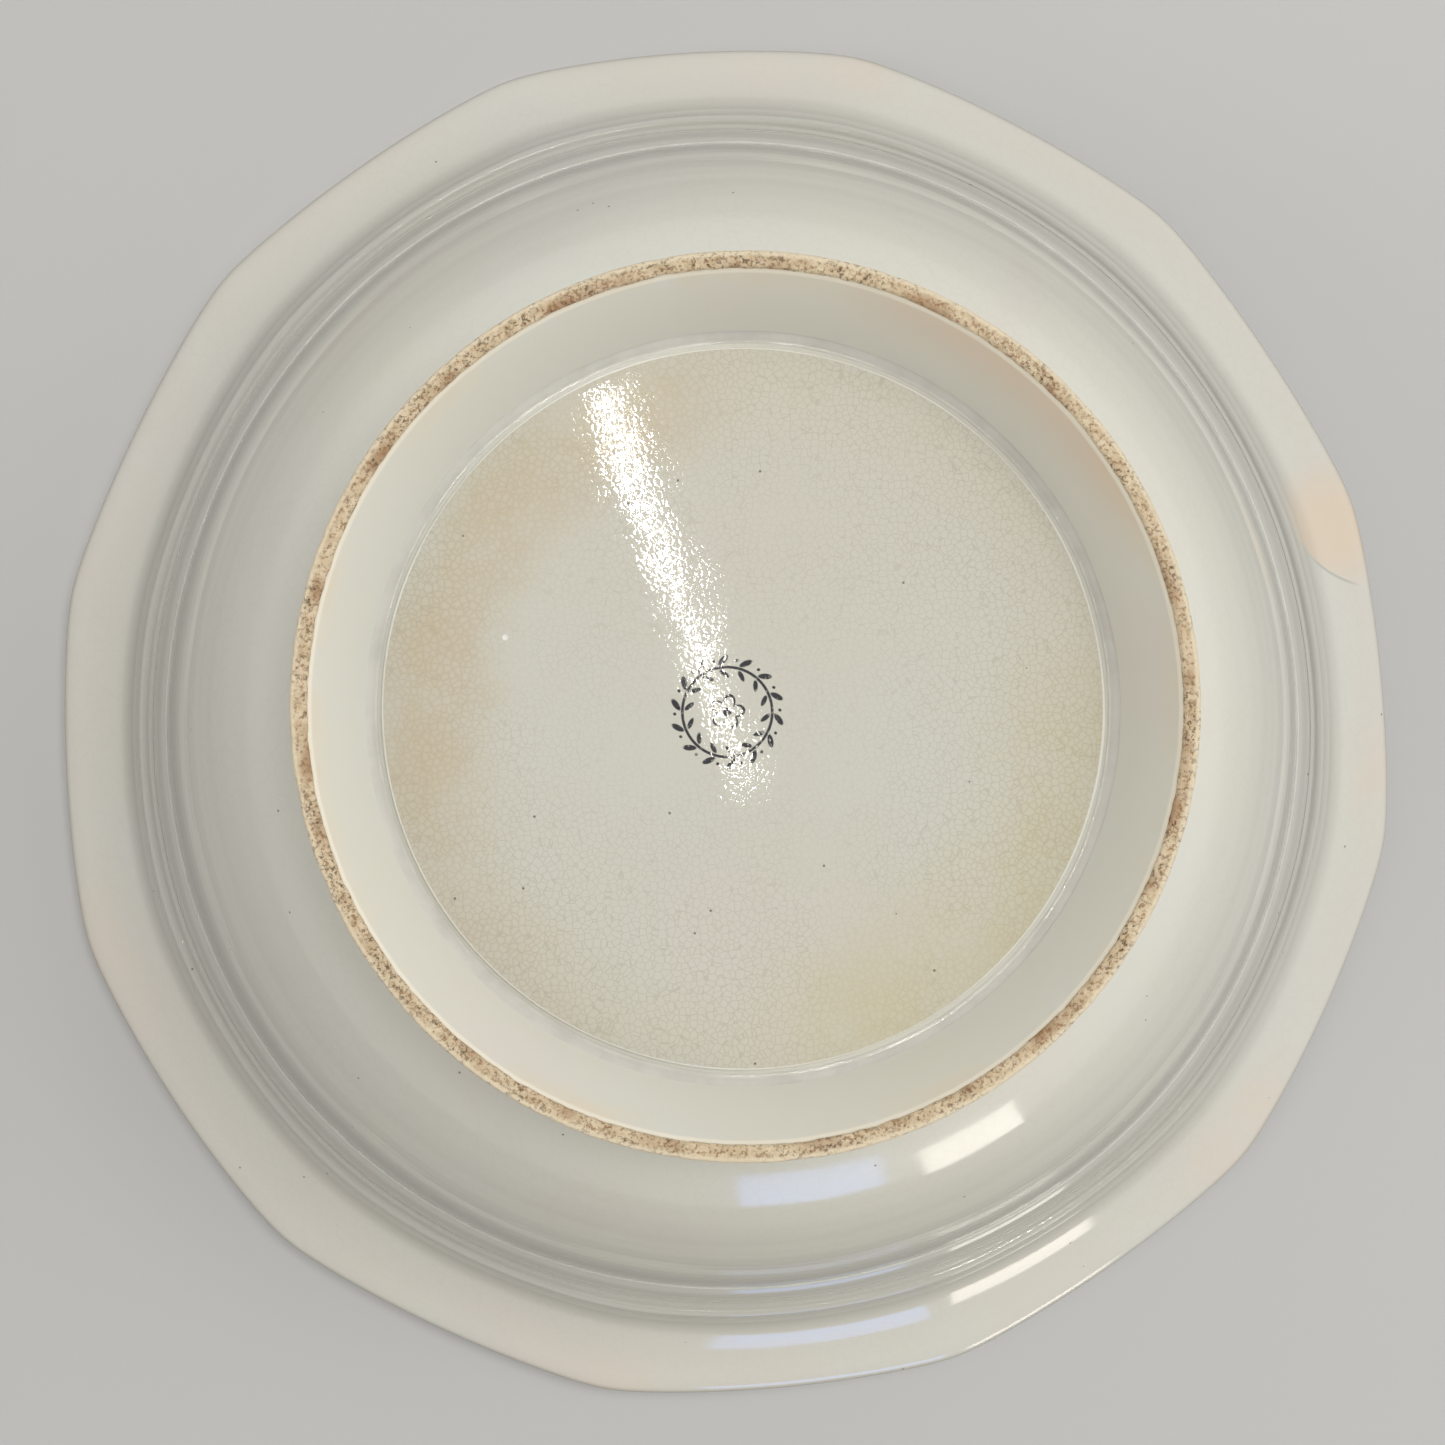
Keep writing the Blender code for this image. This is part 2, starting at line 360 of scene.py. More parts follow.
class Nodes:
    """Short names for building a material's node tree. Lengths are in millimetres."""

    def __init__(self, name):
        self.material = bpy.data.materials.new(name)
        self.material.use_nodes = True
        self.tree = self.material.node_tree
        self.shader = self.tree.nodes["Principled BSDF"]
        where = self.tree.nodes.new("ShaderNodeTexCoord").outputs["Object"]
        scaled = self.vector("SCALE", where, scale=1.0 / MM)
        self.position = scaled
        self.split = self.add("ShaderNodeSeparateXYZ")
        self.put(scaled, self.split.inputs[0])
        self.x, self.y, self.z = self.split.outputs
        self.radius = self.length(self.x, self.y)

    def add(self, kind, **settings):
        node = self.tree.nodes.new(kind)
        for key, value in settings.items():
            setattr(node, key, value)
        return node

    def put(self, value, socket):
        if hasattr(value, "links"):
            self.tree.links.new(value, socket)
        elif value is not None:
            socket.default_value = value

    def math(self, operation, *values):
        node = self.add("ShaderNodeMath", operation=operation)
        for value, socket in zip(values, node.inputs):
            self.put(value, socket)
        return node.outputs[0]

    def product(self, *values):
        total = values[0]
        for value in values[1:]:
            total = self.math("MULTIPLY", total, value)
        return total

    def vector(self, operation, a, b=None, scale=None):
        node = self.add("ShaderNodeVectorMath", operation=operation)
        self.put(a, node.inputs[0])
        self.put(b, node.inputs[1])
        if scale is not None:
            node.inputs["Scale"].default_value = scale
        return node.outputs[0]

    def length(self, a, b):
        return self.math("SQRT", self.math("ADD", self.product(a, a), self.product(b, b)))

    def mix(self, factor, a, b):
        node = self.add("ShaderNodeMix", data_type="RGBA")
        self.put(factor, node.inputs["Factor"])
        self.put(colour(a), node.inputs["A"])
        self.put(colour(b), node.inputs["B"])
        return node.outputs["Result"]

    def between(self, value, low, high, to_low=0.0, to_high=1.0):
        """Eases from to_low to to_high as value goes from low to high."""
        node = self.add("ShaderNodeMapRange", interpolation_type="SMOOTHSTEP")
        for item, socket in zip((value, low, high, to_low, to_high), node.inputs):
            self.put(item, socket)
        return node.outputs[0]

    def shifted(self, amount):
        return self.vector("ADD", self.position, (amount, amount * 0.7, amount * 1.3))

    def noise(self, size, detail=3.0, rough=0.55, shift=0.0, output="Fac"):
        """Cloudy noise whose blobs are about size across."""
        node = self.add("ShaderNodeTexNoise")
        self.put(self.shifted(shift) if shift else self.position, node.inputs["Vector"])
        node.inputs["Scale"].default_value = 1.0 / size
        node.inputs["Detail"].default_value = detail
        node.inputs["Roughness"].default_value = rough
        return node.outputs[output]

    def warped(self, size, amount):
        """The position pushed about by a cloudy noise, so that cells and cracks aren't regular."""
        centred = self.vector("SUBTRACT", self.noise(size, output="Color"), (0.5, 0.5, 0.5))
        return self.vector("ADD", self.position, self.vector("SCALE", centred, scale=amount))

    def cells(self, size, feature, where=None):
        """Voronoi cells about size across, as the node itself."""
        node = self.add("ShaderNodeTexVoronoi", feature=feature)
        self.put(where or self.position, node.inputs["Vector"])
        node.inputs["Scale"].default_value = 1.0 / size
        return node

    def spot(self, x, y, radius, soft):
        """1 within a circle round x, y and 0 outside it, at every height."""
        away = self.length(self.math("SUBTRACT", self.x, x), self.math("SUBTRACT", self.y, y))
        return self.between(away, radius + soft, radius - soft)

    def arc(self, turn, full, none):
        """1 within full degrees of the direction turn round the axis, 0 beyond none degrees."""
        way = math.radians(turn)
        along = self.math("ADD", self.product(self.x, math.cos(way)), self.product(self.y, math.sin(way)))
        cosine = self.math("DIVIDE", along, self.math("MAXIMUM", self.radius, 0.01))
        return self.between(cosine, math.cos(math.radians(none)), math.cos(math.radians(full)))

    def bump(self, height, strength, distance, normal=None):
        """A bump of height, on top of the bump normal where there is one. Its distance is in metres."""
        node = self.add("ShaderNodeBump")
        node.inputs["Strength"].default_value = strength
        node.inputs["Distance"].default_value = distance
        self.put(height, node.inputs["Height"])
        self.put(normal, node.inputs["Normal"])
        return node.outputs["Normal"]


# The palette: glaze, stains, cracks, specks and ink, with a grey for painted shade, pale tones for painted
# highlights and a grey for a painted shadow line.
GLAZE_COOL = srgb(225, 226, 218)
GLAZE_WARM = srgb(226, 223, 211)
BASE_COOL = srgb(214, 215, 206)
BASE_WARM = srgb(214, 211, 199)
RIM_COOL = srgb(218, 218, 211)
RIM_WARM = srgb(219, 215, 204)
PAINTED_SHADE_GREY = srgb(164, 164, 159)
PAINTED_HIGHLIGHT = srgb(243, 241, 234)
TAN_STAIN = srgb(206, 190, 164)
YELLOW_STAIN = srgb(209, 199, 164)
PEACH_STAIN = srgb(228, 211, 190)
RIM_WORN = srgb(222, 212, 202)
PATCH_STEP_SHADOW = srgb(168, 168, 160)
CRAZE_LINE = srgb(176, 168, 148)
PINK_BLUSH = srgb(222, 209, 204)
SPECK = srgb(88, 78, 66)
INK = srgb(34, 33, 48)
CLAY_PALE = srgb(231, 214, 184)
CLAY_TAN = srgb(206, 184, 150)
CLAY_BROWN = srgb(140, 100, 64)
CLAY_SOAKED = srgb(150, 106, 66)
CLAY_GRIT = srgb(92, 64, 44)
LIP_CREAM_HIGHLIGHT = srgb(236, 221, 193)
FOOT_CREAM = srgb(234, 216, 186)
FOOT_BLUSH = srgb(226, 196, 168)
GLAZE_EDGE_HIGHLIGHT = srgb(250, 243, 226)
SLIP_GREY = srgb(150, 150, 142)
RIM_SLIP = srgb(222, 222, 213)
FOOT_SLIP = srgb(216, 213, 205)

GLAZE_IOR = 1.52


def glaze_tone(n, warm, cool_shade, warm_shade):
    """White ware under clear glaze: cloudy, a little warmer here and pinker there."""
    tone = n.between(n.noise(70.0, 4.0, 0.6), 0.35, 0.65, warm - 0.25, warm + 0.25)
    base = n.mix(tone, cool_shade, warm_shade)
    blush = n.between(n.noise(44.0, 3.0, 0.5, 31.0), 0.50, 0.72, 0.0, 0.22)
    return n.mix(blush, base, PINK_BLUSH)


def add_specks(n, base, share):
    """Iron specks: dots up to 0.4 mm across, in no more than the given share of 2.5 mm cells."""
    cells = n.cells(2.5, "F1")
    chance = n.add("ShaderNodeSeparateColor")
    n.put(cells.outputs["Color"], chance.inputs[0])
    chosen = n.math("LESS_THAN", chance.outputs["Red"], share)
    dot = n.between(cells.outputs["Distance"], 0.10, 0.06)
    return n.mix(n.product(dot, chosen, 0.75), base, SPECK)


def craze(n, size):
    """How near a point is to a crack, up to 1 on it, and how far it is up the dome of its cell."""
    distance = n.cells(size, "DISTANCE_TO_EDGE", n.warped(11.0, 1.1)).outputs["Distance"]
    patchy = n.between(n.noise(33.0, 3.0, 0.6, 77.0), 0.35, 0.60, 0.35, 1.0)
    return n.product(n.between(distance, 0.085, 0.015), patchy), n.between(distance, 0.0, 0.42)


def uneven(n, fine):
    """The slow unevenness of a poured glaze, on top of the bump fine."""
    return n.bump(n.noise(38.0, 2.0, 0.4), 0.25, 0.0009, fine)


def gloss(n, height, rough_low=0.06, rough_high=0.13):
    """The glaze's shine, over the fine ripple height and the slow unevenness."""
    n.put(n.between(n.noise(25.0, 4.0, 0.6, 17.0), 0.3, 0.7, rough_low, rough_high),
          n.shader.inputs["Roughness"])
    n.shader.inputs["IOR"].default_value = GLAZE_IOR
    fine = n.bump(height, 0.35, 0.00012)
    n.put(uneven(n, fine), n.shader.inputs["Normal"])


def plain_glaze(name, cool_shade, warm_shade, tint, dull=None):
    """The glaze of wall and rim: faint crazing, a few specks, a tint of painted shade (with stains on the
    rim), and where dull says so, less shine.
    """
    n = Nodes(name)
    base = glaze_tone(n, 0.45, cool_shade, warm_shade)
    crack, _ = craze(n, 2.6)
    base = n.mix(n.product(crack, 0.05), base, CRAZE_LINE)
    base = add_specks(n, tint(n, base), 0.05)
    n.put(base, n.shader.inputs["Base Color"])
    gloss(n, n.product(n.noise(6.7, 2.0, 0.5), 0.35))
    if dull:
        n.put(n.between(dull(n), 0.0, 1.0, 0.5, 0.10), n.shader.inputs["Specular IOR Level"])
    return n.material


def under_rim(n, start, full):
    """How far up the outside of the wall a point is, from 0 at height start to 1 at height full."""
    past_wall = n.math("SUBTRACT", n.radius, n.product(n.z, 0.39))
    outside = n.between(past_wall, 70.5, 73.5)
    return n.product(n.between(n.z, start, full), outside)


def shell_painted_shade(n, base):
    """Painted shade: the outside of the wall greys towards the top, where it disappears under the rim's
    edge.
    """
    return n.mix(n.product(under_rim(n, 40.0, 58.0), 0.64), base, PAINTED_SHADE_GREY)


def shell_dull(n):
    """The last of the wall, where it disappears under the rim, hardly shines."""
    return under_rim(n, 30.0, 38.0)


# The rim's edge is a little discoloured in these places: x, y, radius, softness.
RIM_STAINS = ((-121.0, 31.0, 9.0, 8.0), (-34.0, 122.0, 7.0, 7.0), (34.0, -122.0, 6.0, 7.0),
              (90.0, 85.0, 13.0, 10.0), (119.0, 20.0, 5.0, 6.0))

# One patch of thin glaze ends sharply on part of a circle: x, y, radius.
THIN_PATCH = (128.0, -43.0, 28.0)


def rim_stains_and_shade(n, base):
    """Painted shade in the cove along the bead, a worn and stained edge, one patch where the glaze is thin,
    and a painted shadow line where that patch ends.
    """
    low = n.between(n.z, 80.0, 76.0)
    # The underside lies below a line that climbs outward from the wall, the inner slope above it.
    climb = n.product(n.math("SUBTRACT", n.radius, 101.0), 0.95)
    outside = n.between(n.math("SUBTRACT", n.z, climb), 72.0, 70.0)
    # Painted shade: the cove between the flare and the bead is greyed.
    shaded_cove = n.product(n.between(n.radius, 115.0, 107.5), low, outside)
    base = n.mix(n.product(shaded_cove, 0.42), base, PAINTED_SHADE_GREY)
    patchy = n.between(n.noise(35.0, 3.0, 0.6, 14.0), 0.35, 0.65)
    worn_edge = n.product(n.between(n.radius, 113.0, 124.0), patchy)
    base = n.mix(n.product(worn_edge, 0.28), base, RIM_WORN)
    near_edge = n.between(n.radius, 112.0, 121.0)
    cloud = n.between(n.noise(9.0, 4.0, 0.6, 5.0), 0.32, 0.62, 0.35, 1.0)
    for x, y, radius, soft in RIM_STAINS:
        stain = n.product(n.spot(x, y, radius, soft), near_edge, cloud, 0.34)
        base = n.mix(stain, base, PEACH_STAIN)
    under = n.between(n.z, 86.0, 84.0)
    x, y, radius = THIN_PATCH
    bare_edge = n.spot(x, y, radius, 0.12)
    soft_edge = n.spot(115.0, -27.0, 10.0, 5.5)
    shoulder = n.between(n.radius, 108.5, 111.0)
    patch = n.product(bare_edge, soft_edge, shoulder, under)
    base = n.mix(n.product(patch, 0.85), base, PEACH_STAIN)
    # Painted shadow: a thin grey line just past the patch's sharp edge stands in for the shade of the step
    # there.
    just_past = n.between(n.spot(x, y, radius + 0.3, 0.5), 0.0, 0.5)
    outline = n.product(just_past, n.math("SUBTRACT", 1.0, bare_edge))
    return n.mix(n.product(outline, n.spot(115.0, -19.0, 5.0, 2.0), under, 0.5), base, PATCH_STEP_SHADOW)


PIT = (-34.7, -13.1)               # a single pit in the base glaze, painted pale as a highlight


def base_material():
    """The glaze inside the foot ring: fine crazing that old stains have soaked into, the print, and painted
    highlights in a pit and round the disc's edge.
    """
    n = Nodes("base_glaze")
    base = glaze_tone(n, 0.75, BASE_COOL, BASE_WARM)
    crack, dome = craze(n, 1.0)
    ragged = n.product(n.math("SUBTRACT", n.noise(9.0, 4.0, 0.6, 3.0), 0.5), 9.0)
    reach = n.math("ADD", n.radius, ragged)
    cloud = n.between(n.noise(16.0, 4.0, 0.6, 12.0), 0.30, 0.62, 0.45, 1.0)
    seep = n.between(dome, 0.0, 1.0, 1.0, 0.62)
    inner_ring = n.product(n.between(reach, 33.0, 44.0), n.between(reach, 54.5, 48.5, 0.15, 1.0))
    outer_ring = n.between(reach, 38.0, 53.0)
    left = n.product(n.arc(-146.0, 32.0, 66.0), inner_ring, cloud, seep, 0.72)
    base = n.mix(left, base, TAN_STAIN)
    base = n.mix(n.product(n.arc(165.0, 20.0, 50.0), outer_ring, cloud, seep, 0.45), base, TAN_STAIN)
    low = n.product(n.arc(42.0, 26.0, 58.0), n.between(reach, 30.0, 49.0), cloud, seep, 0.60)
    base = n.mix(low, base, YELLOW_STAIN)
    base = n.mix(n.product(outer_ring, cloud, seep, 0.18), base, YELLOW_STAIN)
    base = n.mix(n.product(crack, n.between(n.radius, 8.0, 44.0, 0.20, 0.36)), base, CRAZE_LINE)
    base = add_specks(n, base, 0.09)
    base = n.mix(n.product(print_mask(n), 0.93), base, INK)
    # Painted highlight: the pit's glint.
    base = n.mix(n.spot(*PIT, 0.45, 0.1), base, PAINTED_HIGHLIGHT)
    # Painted highlight: a thin bright line round the disc's rounded edge.
    base = n.mix(n.between(n.radius, BASE_RADIUS - 0.80, BASE_RADIUS - 0.70), base, PAINTED_HIGHLIGHT)
    n.put(base, n.shader.inputs["Base Color"])
    pit = n.product(n.spot(*PIT, 0.3, 0.25), -3.0)
    ripple = n.math("ADD", n.product(n.noise(6.7, 2.0, 0.5), 0.5), n.product(dome, 0.06))
    gloss(n, n.math("ADD", ripple, pit), 0.03, 0.055)
    return n.material


PRINT_PLACE = (-2.6, 0.5)          # centre of the printed wreath
PRINT_TURN = math.radians(3.0)
WREATH_RADIUS = 6.7
WREATH_LEAVES = 14
STEM_HALF = 0.21                   # half the width of the printed stem
EDGE = 0.07                        # softness of a printed edge


def oval(n, along, across, place, tilt, half_long, half_wide):
    """1 inside an ellipse in the plane of along and across, with softened edges."""
    a = n.math("SUBTRACT", along, place[0])
    b = n.math("SUBTRACT", across, place[1])
    c, s = math.cos(tilt), math.sin(tilt)
    u = n.math("ADD", n.product(a, c / half_long), n.product(b, s / half_long))
    v = n.math("SUBTRACT", n.product(b, c / half_wide), n.product(a, s / half_wide))
    return n.between(n.length(u, v), 1.0 + EDGE / half_wide, 1.0 - EDGE / half_wide)


def print_mask(n):
    """A plain leaf wreath round a five-petalled flower, printed in dark ink under the glaze."""
    dx = n.math("SUBTRACT", n.x, PRINT_PLACE[0])
    dy = n.math("SUBTRACT", n.y, PRINT_PLACE[1])
    rho = n.length(dx, dy)
    angle = n.math("ADD", n.math("ARCTAN2", dy, dx), PRINT_TURN)
    off_stem = n.math("ABSOLUTE", n.math("SUBTRACT", rho, WREATH_RADIUS))
    stem = n.between(off_stem, STEM_HALF + EDGE, STEM_HALF - EDGE)
    turn = n.math("FRACT", n.math("ADD", n.product(angle, WREATH_LEAVES / TAU), 100.0))
    along = n.product(n.math("SUBTRACT", turn, 0.5), rho, TAU / WREATH_LEAVES)
    across = n.math("SUBTRACT", rho, WREATH_RADIUS)
    outer_leaf = oval(n, along, across, (0.35, 1.05), 0.75, 1.05, 0.42)
    inner_leaf = oval(n, along, across, (0.30, -0.95), -0.75, 0.85, 0.36)
    berry = oval(n, along, across, (-1.05, 1.15), 0.0, 0.24, 0.24)
    petals = n.math("ABSOLUTE", n.math("COSINE", n.product(angle, 2.5)))
    rim_of_flower = n.math("ADD", n.product(petals, 1.15), 1.35)
    outline = n.math("ABSOLUTE", n.math("SUBTRACT", rho, rim_of_flower))
    flower = n.between(outline, 0.22 + EDGE, 0.22 - EDGE)
    heart = n.between(rho, 0.62 + EDGE, 0.62 - EDGE)
    ink = stem
    for shape in (outer_leaf, inner_leaf, berry, flower, heart):
        ink = n.math("MAXIMUM", ink, shape)
    worn = n.between(n.noise(0.9, 3.0, 0.7, 9.0), 0.30, 0.45, 0.35, 1.0)
    return n.product(ink, worn)


def foot_material():
    """Glazed sides that end in a bare lip of tan clay: brown and dark grit inside, cream outside with a
    painted highlight, and a painted highlight where the glaze ends.
    """
    n = Nodes("foot_glaze_and_clay")
    ragged = n.product(n.math("SUBTRACT", n.noise(2.2, 4.0, 0.6), 0.5), 0.7)
    height = n.math("ADD", n.z, ragged)
    bare = n.between(height, 0.62, 0.42)
    glazed = glaze_tone(n, 0.55, GLAZE_COOL, GLAZE_WARM)
    near_lip = n.between(height, 6.0, 0.6)
    cloud = n.between(n.noise(26.0, 3.0, 0.6, 8.0), 0.42, 0.66)
    glazed = n.mix(n.product(near_lip, cloud, 0.5), glazed, FOOT_CREAM)
    warm_arc = n.product(n.arc(-45.0, 10.0, 32.0), n.between(height, 11.0, 2.0), 0.45)
    glazed = n.mix(warm_arc, glazed, FOOT_BLUSH)
    # Painted highlight: a bright line where the glaze ends at the lip's inner edge.
    inner_side = n.between(n.radius, 62.6, 62.3)
    lip_highlight_line = n.product(n.between(n.z, 1.7, 1.1), inner_side)
    glazed = n.mix(n.product(lip_highlight_line, 0.9), glazed, GLAZE_EDGE_HIGHLIGHT)
    clay = n.mix(n.between(n.noise(3.0, 5.0, 0.7, 2.0), 0.3, 0.7), CLAY_PALE, CLAY_TAN)
    speckle = n.between(n.noise(0.7, 5.0, 0.75, 27.0), 0.50, 0.60)
    clay = n.mix(n.product(speckle, 0.72), clay, CLAY_BROWN)
    soak = n.product(n.between(n.noise(14.0, 3.0, 0.65, 21.0), 0.46, 0.66), n.between(n.radius, 64.3, 62.6))
    clay = n.mix(n.product(soak, 0.75), clay, CLAY_SOAKED)
    grit = n.product(n.between(n.noise(0.6, 4.0, 0.75, 4.0), 0.55, 0.65),
                     n.between(n.noise(9.0, 3.0, 0.6, 6.0), 0.40, 0.62, 0.15, 1.0))
    clay = n.mix(n.product(grit, 0.75), clay, CLAY_GRIT)
    # Paler clay towards the lip's outer edge, brightened further as a painted highlight.
    clay = n.mix(n.product(n.between(n.radius, 63.7, 64.2), 0.85), clay, LIP_CREAM_HIGHLIGHT)
    n.put(n.mix(bare, glazed, clay), n.shader.inputs["Base Color"])
    n.put(n.between(bare, 0.0, 1.0, 0.11, 0.8), n.shader.inputs["Roughness"])
    n.shader.inputs["IOR"].default_value = GLAZE_IOR
    pits = n.product(n.math("SUBTRACT", n.noise(1.4, 4.0, 0.7), grit), bare)
    fine = n.bump(pits, 0.8, 0.0003)
    n.put(uneven(n, fine), n.shader.inputs["Normal"])
    return n.material


def slip_material(name, shade, dirt):
    """Slip under glaze: the glaze's own tone with a little grey that has gathered in the corner."""
    n = Nodes(name)
    streaks = n.noise(6.0, 4.0, 0.6)
    base = n.mix(n.between(streaks, 0.35, 0.7, 0.0, dirt), shade, SLIP_GREY)
    n.put(base, n.shader.inputs["Base Color"])
    gloss(n, n.noise(3.3, 3.0, 0.5), 0.08, 0.18)
    return n.material


def dress(piece, material, slot, *nodes):
    piece.data.materials.clear()
    piece.data.materials.append(material)
    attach(piece, "root")
    if nodes:
        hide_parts(*nodes)


# ---------------------------------------------------------------- studio

# The camera is close under the bowl, a little off its axis.
CAMERA_PLACE = Vector((-9.09, 6.36, -254.7)) * MM
CAMERA_ROLL = math.radians(4.35)
CAMERA_AIM = (0.0198, 0.0178)      # how far it looks to its right and up, as slopes
CAMERA_LENS = 44.84                # millimetres, on a 36 mm sensor


def image_axes():
    """The camera's right and up directions when it looks straight up, in the frame."""
    right = Vector((math.cos(CAMERA_ROLL), math.sin(CAMERA_ROLL), 0.0))
    up = Vector((math.sin(CAMERA_ROLL), -math.cos(CAMERA_ROLL), 0.0))
    return right, up


def make_camera():
    right, up = image_axes()
    forward = (Vector((0, 0, 1)) + CAMERA_AIM[0] * right + CAMERA_AIM[1] * up).normalized()
    right = (right - forward * right.dot(forward)).normalized()
    up = right.cross(forward)
    data = bpy.data.cameras.new("camera")
    data.lens = CAMERA_LENS
    data.sensor_width = 36.0
    data.clip_start = 0.01
    camera = bpy.data.objects.new("camera", data)
    facing = Matrix((right, up, -forward)).transposed().to_4x4()
    camera.matrix_world = Matrix.Translation(CAMERA_PLACE) @ facing
    bpy.context.scene.collection.objects.link(camera)
    bpy.context.scene.camera = camera


LAMPS_AIM = Vector((0, 0, 0.05))   # every lamp but the strips faces the middle of the bowl


def area_light(name, place, width, height, power, tint):
    data = bpy.data.lights.new(name, "AREA")
    data.shape = "RECTANGLE"
    data.size, data.size_y = width, height
    data.energy = power
    data.color = tint
    lamp = bpy.data.objects.new(name, data)
    lamp.location = place
    lamp.rotation_euler = (LAMPS_AIM - place).to_track_quat("-Z", "Y").to_euler()
    lamp.visible_camera = False
    bpy.context.scene.collection.objects.link(lamp)
    return lamp


def below(turn, reach, drop):
    """A place under the bowl: turn in degrees as the camera sees it, reach out from the axis, drop under."""
    right, up = image_axes()
    t = math.radians(turn)
    return (right * math.cos(t) + up * math.sin(t)) * reach + Vector((0, 0, -drop))


# Far behind the camera stand two strip lamps, the one nearer the axis narrower: x, y, width in millimetres.
STRIPS = ((-23.5, -151.0, 6.0), (7.0, -38.0, 3.5))
STRIP_HEIGHT = -787.0              # millimetres
STRIP_LENGTH = 0.117               # metres
STRIP_TURN = math.radians(-15.2)
STRIP_POWER = 0.031                # watts for each millimetre of width


def make_lights():
    """Soft lamps under and above the bowl, two windows at about its level, and the two strips."""
    soft_lamps = (
        ("key", below(32, 0.70, 1.32), 0.80, 9.7, (1.0, 0.995, 0.98)),
        ("side", below(15, 1.23, 0.86), 0.70, 2.6, (1.0, 0.985, 0.94)),
        ("fill", below(200, 1.23, 0.86), 0.70, 2.8, (1.0, 0.96, 0.88)),
        ("high", Vector((-0.75, -0.80, 1.05)), 0.90, 7.0, (1.0, 0.985, 0.96)),
    )
    for name, place, size, power, tint in soft_lamps:
        lamp = area_light(name, place, size, size, power, tint)
        lamp.visible_glossy = False
    area_light("top", Vector((-0.15, -0.22, 1.5)), 0.62, 0.62, 8.0, (1.0, 0.985, 0.96))
    cool = area_light("window_cool", below(-80, 1.3, 0.13), 0.40, 0.36, 1.6, (0.20, 0.42, 1.0))
    cool.visible_diffuse = False
    area_light("window_warm", below(-60, 1.3, 0.02), 0.30, 0.34, 1.7, (1.0, 0.95, 0.84))
    for number, (x, y, width) in enumerate(STRIPS):
        place = Vector((x, y, STRIP_HEIGHT)) * MM
        power = STRIP_POWER * width
        strip = area_light(f"strip_{number}", place, width * MM, STRIP_LENGTH, power, (1.0, 0.97, 0.86))
        strip.rotation_euler = (math.pi, 0.0, STRIP_TURN)


# Brightness of the surroundings by the height of the direction looked in, from straight down to straight up.
SURROUNDINGS = ((-1.0, 0.02), (-0.90, 0.15), (-0.75, 0.60), (-0.45, 0.55), (-0.15, 0.62), (-0.02, 0.50),
                (0.08, 0.10), (0.35, 0.14), (1.0, 0.62))
HORIZON = 0.02                     # height of the direction above which reflections are dimmed
REFLECTED_ABOVE = 0.25             # share of the brightness overhead that shows in the glaze
BACKGROUND = (0.62, 0.62, 0.61, 1.0)   # what the camera sees past the bowl


def make_world():
    """A room that is dark straight below the bowl and dim just above its level, and the background."""
    world = bpy.data.worlds.new("studio")
    world.use_nodes = True
    tree = world.node_tree
    direction = tree.nodes.new("ShaderNodeSeparateXYZ")
    tree.links.new(tree.nodes.new("ShaderNodeTexCoord").outputs["Generated"], direction.inputs[0])
    height = tree.nodes.new("ShaderNodeMapRange")
    height.inputs["From Min"].default_value = -1.0
    tree.links.new(direction.outputs["Z"], height.inputs["Value"])
    ramp = tree.nodes.new("ShaderNodeValToRGB")
    tree.links.new(height.outputs[0], ramp.inputs[0])
    stops = ramp.color_ramp.elements
    while len(stops) < len(SURROUNDINGS):
        stops.new(0.5)
    for stop, (up, bright) in zip(stops, SURROUNDINGS):
        stop.position = (up + 1.0) / 2.0
        stop.color = (bright, bright * 0.985, bright * 0.965, 1.0)
    rays = tree.nodes.new("ShaderNodeLightPath")
    above = tree.nodes.new("ShaderNodeMath")
    above.operation = "GREATER_THAN"
    above.inputs[1].default_value = HORIZON
    tree.links.new(direction.outputs["Z"], above.inputs[0])
    dimmed = tree.nodes.new("ShaderNodeMath")
    dimmed.operation = "MULTIPLY"
    tree.links.new(above.outputs[0], dimmed.inputs[0])
    tree.links.new(rays.outputs["Is Glossy Ray"], dimmed.inputs[1])
    strength = tree.nodes.new("ShaderNodeMath")
    strength.operation = "MULTIPLY_ADD"
    strength.inputs[1].default_value = REFLECTED_ABOVE - 1.0
    strength.inputs[2].default_value = 1.0
    tree.links.new(dimmed.outputs[0], strength.inputs[0])
    lighting = tree.nodes["Background"]
    tree.links.new(ramp.outputs["Color"], lighting.inputs["Color"])
    tree.links.new(strength.outputs[0], lighting.inputs["Strength"])
    seen = tree.nodes.new("ShaderNodeBackground")
    seen.inputs["Color"].default_value = BACKGROUND
    mix = tree.nodes.new("ShaderNodeMixShader")
    tree.links.new(rays.outputs["Is Camera Ray"], mix.inputs[0])
    tree.links.new(lighting.outputs[0], mix.inputs[1])
    tree.links.new(seen.outputs[0], mix.inputs[2])
    tree.links.new(mix.outputs[0], tree.nodes["World Output"].inputs["Surface"])
    bpy.context.scene.world = world


SHEET_HALF = 1.3                   # metres
SHEET_FADE = (380.0, 1200.0)       # millimetres from the axis, where a sheet starts and ends its fade


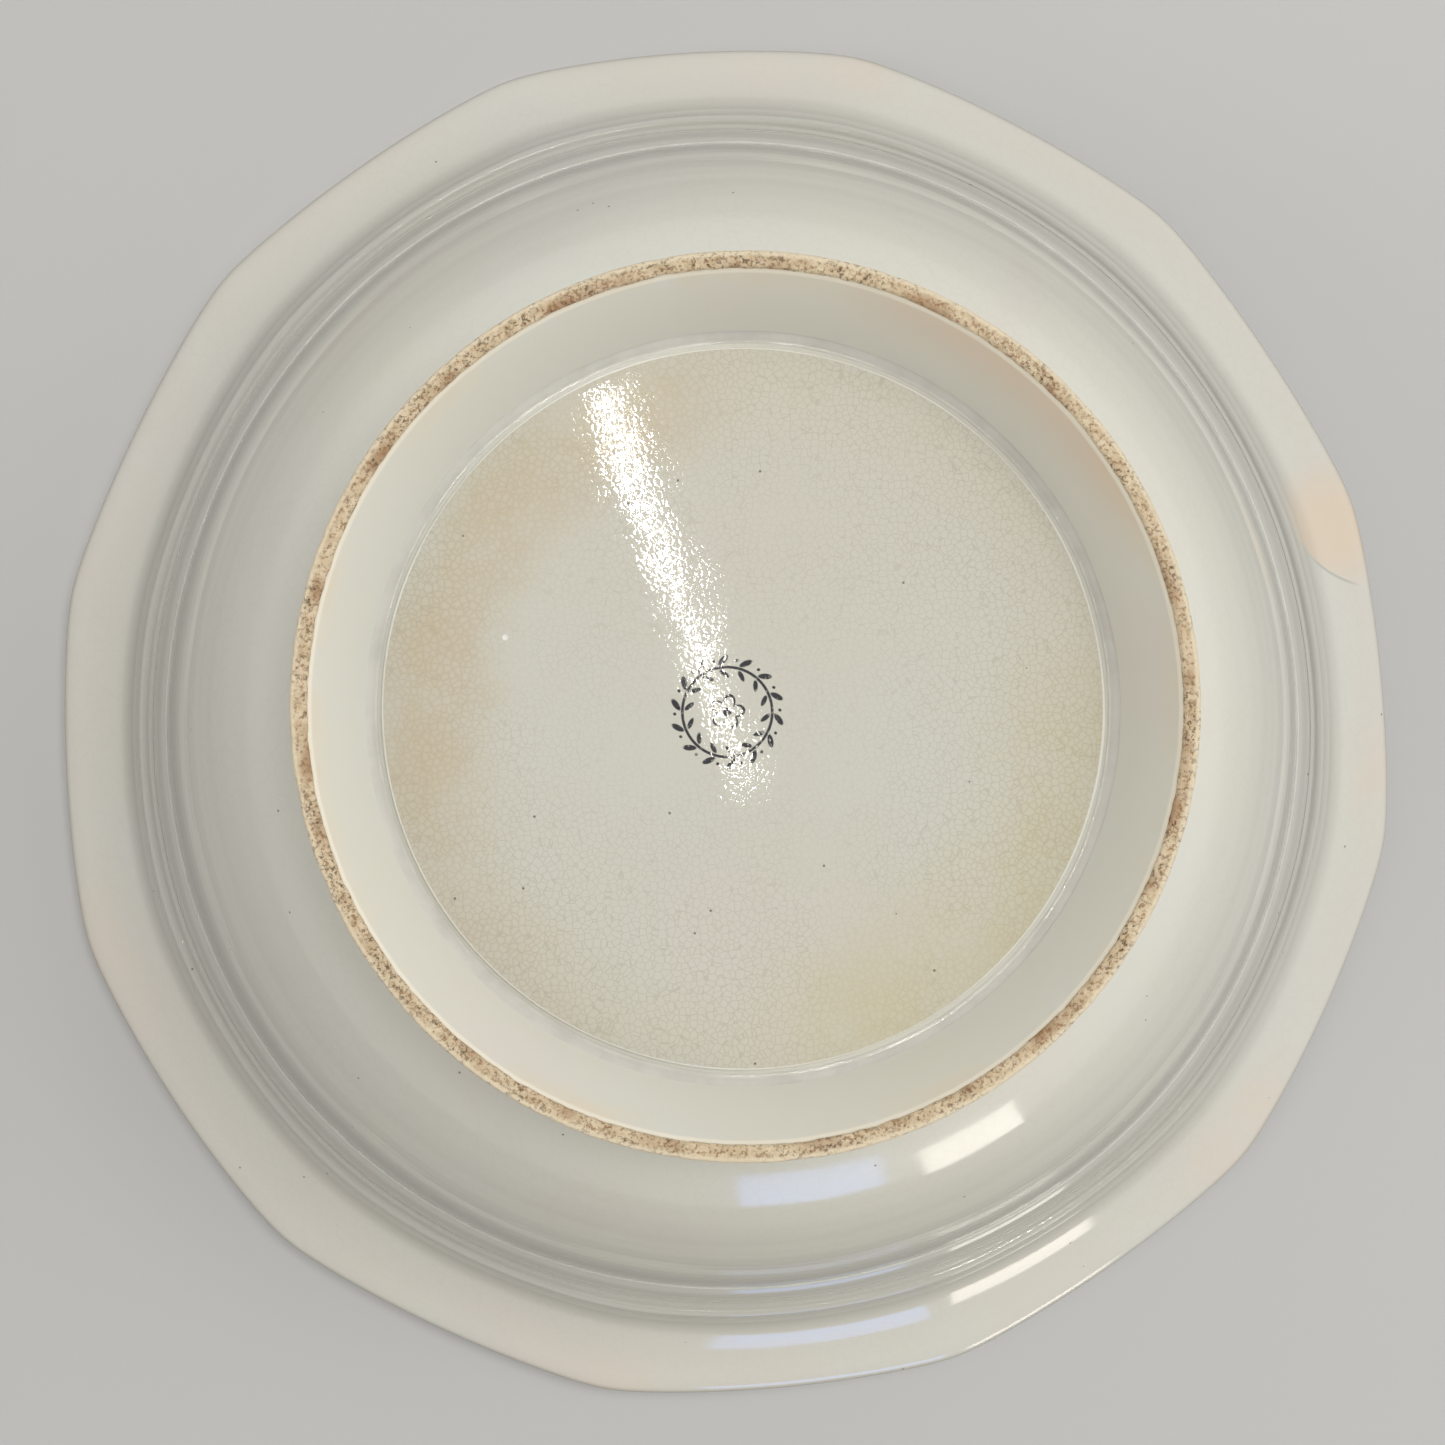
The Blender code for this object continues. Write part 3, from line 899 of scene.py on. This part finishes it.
def one_sided(name, height, facing_up, tone):
    """A pale sheet that fades out and is only seen from its front, so that it hides nothing behind it."""
    mesh = bpy.data.meshes.new(name)
    corners = [(x * SHEET_HALF, y * SHEET_HALF, height) for x, y in ((-1, -1), (1, -1), (1, 1), (-1, 1))]
    order = (0, 1, 2, 3) if facing_up else (3, 2, 1, 0)
    mesh.from_pydata(corners, [], [order])
    sheet = bpy.data.objects.new(name, mesh)
    bpy.context.scene.collection.objects.link(sheet)
    n = Nodes(name + "_paper")
    n.put(n.mix(n.noise(500.0), (tone, tone, tone), (tone * 1.05, tone * 1.05, tone * 1.04)),
          n.shader.inputs["Base Color"])
    n.shader.inputs["Roughness"].default_value = 0.9
    clear = n.add("ShaderNodeBsdfTransparent")
    back = n.add("ShaderNodeNewGeometry").outputs["Backfacing"]
    mix = n.add("ShaderNodeMixShader")
    n.put(n.math("MAXIMUM", back, n.between(n.radius, *SHEET_FADE)), mix.inputs[0])
    n.tree.links.new(n.shader.outputs[0], mix.inputs[1])
    n.tree.links.new(clear.outputs[0], mix.inputs[2])
    n.tree.links.new(mix.outputs[0], n.tree.nodes["Material Output"].inputs["Surface"])
    mesh.materials.append(n.material)
    for ray in ("diffuse", "glossy", "transmission", "shadow"):
        setattr(sheet, "visible_" + ray, False)


# ---------------------------------------------------------------- build

make_camera()
dress(make_shell(), plain_glaze("shell_glaze", GLAZE_COOL, GLAZE_WARM, shell_painted_shade, shell_dull),
      "shell_glaze", "bowl_shell")
dress(make_base(), base_material(), "shell_glaze")
dress(make_rim(), plain_glaze("rim_glaze", RIM_COOL, RIM_WARM, rim_stains_and_shade), "rim_glaze", "rim_flange")
dress(make_foot(), foot_material(), "foot_clay", "foot_ring")
dress(make_rim_slip(), slip_material("rim_slip", RIM_SLIP, 0.15), "rim_slip", "rim_luting")
dress(make_foot_slip(), slip_material("foot_slip", FOOT_SLIP, 0.2), "foot_slip", "foot_luting")
make_lights()
make_world()
one_sided("floor", 0.0, True, 0.72)
one_sided("backdrop", HEIGHT * MM, False, 0.57)
bpy.context.scene.view_settings.view_transform = "Standard"
